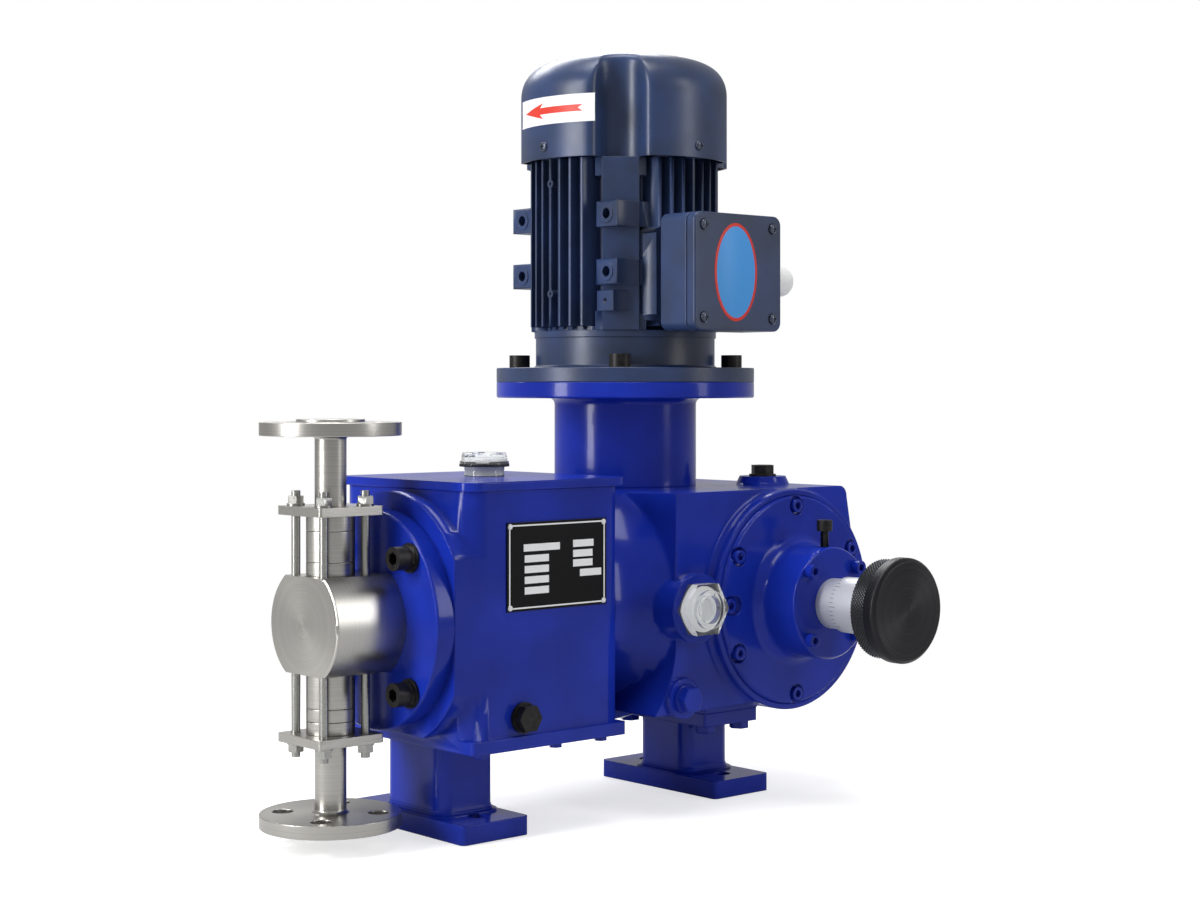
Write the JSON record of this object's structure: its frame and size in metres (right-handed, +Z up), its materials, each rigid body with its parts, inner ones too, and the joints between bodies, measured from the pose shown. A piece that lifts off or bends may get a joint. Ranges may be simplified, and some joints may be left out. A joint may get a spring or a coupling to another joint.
{
  "type": "plunger metering pump",
  "caption": "Plunger metering pump with a vertical flange motor, a worm gearbox, a hand-set stroke knob and a stainless liquid end with flanged ports.",
  "frame": {"origin": "on the floor, at the centre of the four foundation bolt holes", "axes": "+Z up along the motor axis; +X along the plunger from the liquid end to the gearbox; -Y is the side with the nameplate and the stroke knob"},
  "size_m": [0.4785, 0.343, 0.56],
  "materials": {
    "blue_enamel": "gloss ultramarine enamel on castings",
    "motor_paint": "satin slate grey-blue paint on aluminium",
    "stainless": "turned and brushed stainless steel",
    "black_oxide": "black oxide",
    "zinc": "zinc plated",
    "machined_steel": "ground steel",
    "iron": "machined cast iron",
    "bronze": "worm wheel bronze",
    "copper": "lacquered copper and laminations",
    "satin_aluminium": "satin anodised",
    "black_aluminium": "black anodised, knurled",
    "clear_plastic": "clear moulded plastic",
    "white_plastic": "white moulded plastic",
    "black_plastic": "moulded fan plastic",
    "rubber": "black rubber",
    "packing": "filled packing",
    "plate": "black printed aluminium plate"
  },
  "bodies": {
    "casing": {"crosshead_housing": "blue_enamel", "housing_lid": "blue_enamel", "filler_cap": "clear_plastic", "filler_seal_ring": "rubber", "crosshead_drain_plug": "black_oxide", "nameplate": "plate", "foot_flange_bolts": "blue_enamel", "front_foot": "blue_enamel", "head_flange": "blue_enamel", "head_flange_bolts": "black_oxide", "head_flange_washers": "zinc", "pump_head": "stainless", "packing_rings": "packing", "packing_gland": "bronze", "valve_seats": "stainless", "valve_cages": "stainless", "discharge_connector": "stainless", "suction_connector": "stainless", "valve_yokes": "stainless", "yoke_studs": "zinc", "yoke_nuts": "zinc", "gearbox_housing": "blue_enamel", "rear_foot": "blue_enamel", "gear_cover": "blue_enamel", "cover_screws": "blue_enamel", "scale_sleeve": "satin_aluminium", "sight_glass": "clear_plastic", "gearbox_drain_plug": "blue_enamel", "vent_plug": "black_oxide", "wheel_bearings": "machined_steel", "worm_bearings": "machined_steel", "motor_lantern": "blue_enamel", "motor_flange_bolts": "black_oxide", "motor_end_shield": "motor_paint", "motor_frame": "motor_paint", "motor_bearings": "machined_steel", "stator": "copper", "fan_cowl": "motor_paint", "terminal_box": "motor_paint", "terminal_box_lid": "motor_paint", "cable_gland": "white_plastic"},
    "motor_rotor": {"rotor": "machined_steel", "cooling_fan": "black_plastic", "shaft_coupling": "iron", "worm_shaft": "machined_steel"},
    "wheel_drive": {"worm_wheel": "bronze", "wheel_spindle": "machined_steel"},
    "stroke_shaft": {"n_shaft": "machined_steel"},
    "eccentric": {"eccentric_disc": "machined_steel"},
    "rod": {"connecting_rod": "iron"},
    "crosshead_slide": {"crosshead": "iron", "crosshead_pin": "machined_steel", "plunger": "stainless"},
    "screw_carriage": {"thrust_block": "bronze"},
    "knob": {"stroke_knob": "black_aluminium", "stroke_dial": "satin_aluminium", "adjusting_screw": "machined_steel"},
    "stroke_lock": {"lock_screw": "black_oxide"},
    "discharge_valve_ball": {"discharge_ball": "stainless"},
    "suction_valve_ball": {"suction_ball": "stainless"}
  },
  "joints": [
    {"name": "motor_turn", "type": "hinge", "parent": "casing", "child": "motor_rotor", "pos_m": [0.0895, 0.036, 0.3], "axis": [0, 0, 1], "continuous": true},
    {"name": "wheel_turn", "type": "hinge", "parent": "casing", "child": "wheel_drive", "pos_m": [0.1395, 0, 0.148], "axis": [0, 1, 0], "continuous": true},
    {"name": "stroke_shaft_slide", "type": "slide", "parent": "wheel_drive", "child": "stroke_shaft", "axis": [0, 1, 0], "range_m": [0, 0.012]},
    {"name": "eccentric_slide", "type": "slide", "parent": "wheel_drive", "child": "eccentric", "axis": [0, 0, -1], "range_m": [0, 0.006]},
    {"name": "rod_turn", "type": "hinge", "parent": "eccentric", "child": "rod", "pos_m": [0.1395, 0, 0.148], "axis": [0, 1, 0], "continuous": true},
    {"name": "crosshead_stroke", "type": "slide", "parent": "casing", "child": "crosshead_slide", "axis": [1, 0, 0], "range_m": [-0.006, 0.006]},
    {"name": "screw_travel", "type": "slide", "parent": "casing", "child": "screw_carriage", "axis": [0, 1, 0], "range_m": [0, 0.012]},
    {"name": "knob_turn", "type": "hinge", "parent": "screw_carriage", "child": "knob", "pos_m": [0.1395, -0.2, 0.148], "axis": [0, 1, 0], "range_deg": [0, 2160]},
    {"name": "lock_turn", "type": "hinge", "parent": "casing", "child": "stroke_lock", "pos_m": [0.1395, -0.127, 0.2], "axis": [0, 0, 1], "range_deg": [0, 360]},
    {"name": "discharge_ball_lift", "type": "slide", "parent": "casing", "child": "discharge_valve_ball", "axis": [0, 0, 1], "range_m": [0, 0.003]},
    {"name": "suction_ball_lift", "type": "slide", "parent": "casing", "child": "suction_valve_ball", "axis": [0, 0, 1], "range_m": [0, 0.003]}
  ],
  "couplings": [
    {"joint": "wheel_turn", "follows": "motor_turn", "ratio": -0.027778},
    {"joint": "rod_turn", "follows": "motor_turn", "ratio": 0.027778},
    {"joint": "screw_travel", "follows": "knob_turn", "m_per_rad": 0.00031831},
    {"joint": "stroke_shaft_slide", "follows": "knob_turn", "m_per_rad": 0.00031831},
    {"joint": "eccentric_slide", "follows": "knob_turn", "m_per_rad": 0.00015915}
  ]
}
